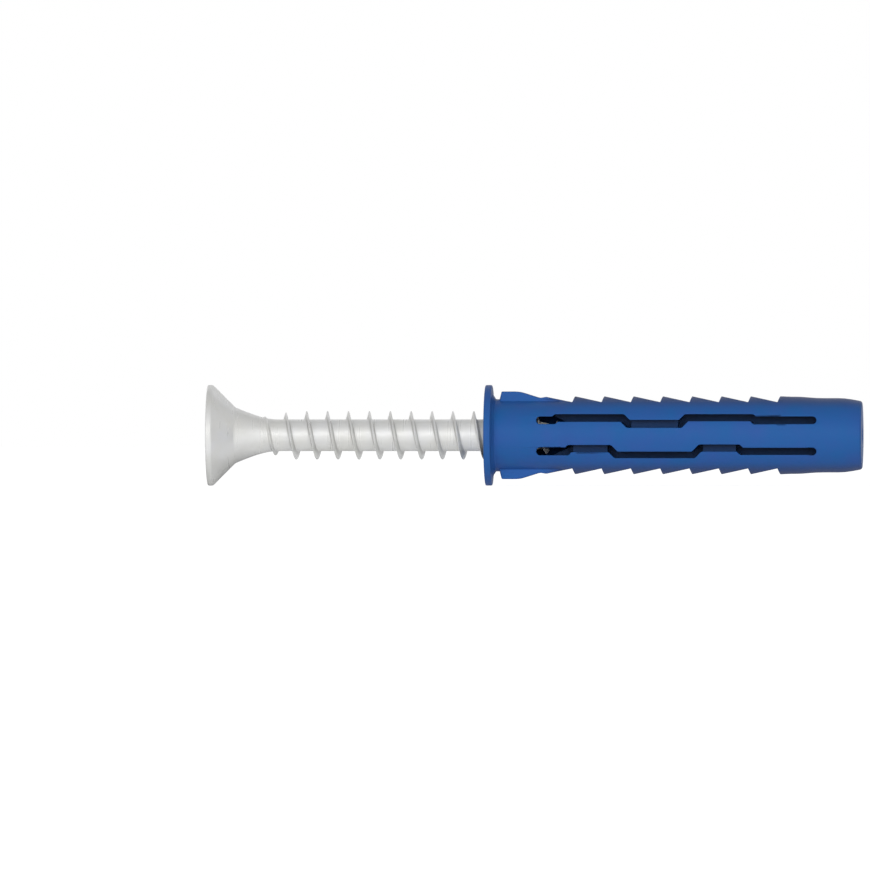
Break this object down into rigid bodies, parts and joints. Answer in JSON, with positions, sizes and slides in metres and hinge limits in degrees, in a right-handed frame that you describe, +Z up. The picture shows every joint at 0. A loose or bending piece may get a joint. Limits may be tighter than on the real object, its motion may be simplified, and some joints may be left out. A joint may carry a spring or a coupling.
{
  "type": "wall plug with screw",
  "caption": "Nylon wall plug with a thin collar, anti-turn fins, saw teeth and zig-zag slots, with a countersunk cross-recess screw driven part way into it.",
  "frame": {"origin": "on the floor below the middle of the overall length, with the part lying on the rim of the screw's head and the rim of the plug's collar", "axes": "+X along the common axis from the screw's head to the plug's nose, +Z up, the zig-zag slots on the -Y and +Y sides, the saw teeth above and below"},
  "size_m": [0.0688, 0.0106, 0.0106],
  "materials": {
    "zinc_plated_steel": "bright zinc plating, satin",
    "blue_nylon": "moulded nylon, satin"
  },
  "bodies": {
    "root": {"countersunk_screw": "zinc_plated_steel", "wall_plug": "blue_nylon"}
  },
  "joints": []
}
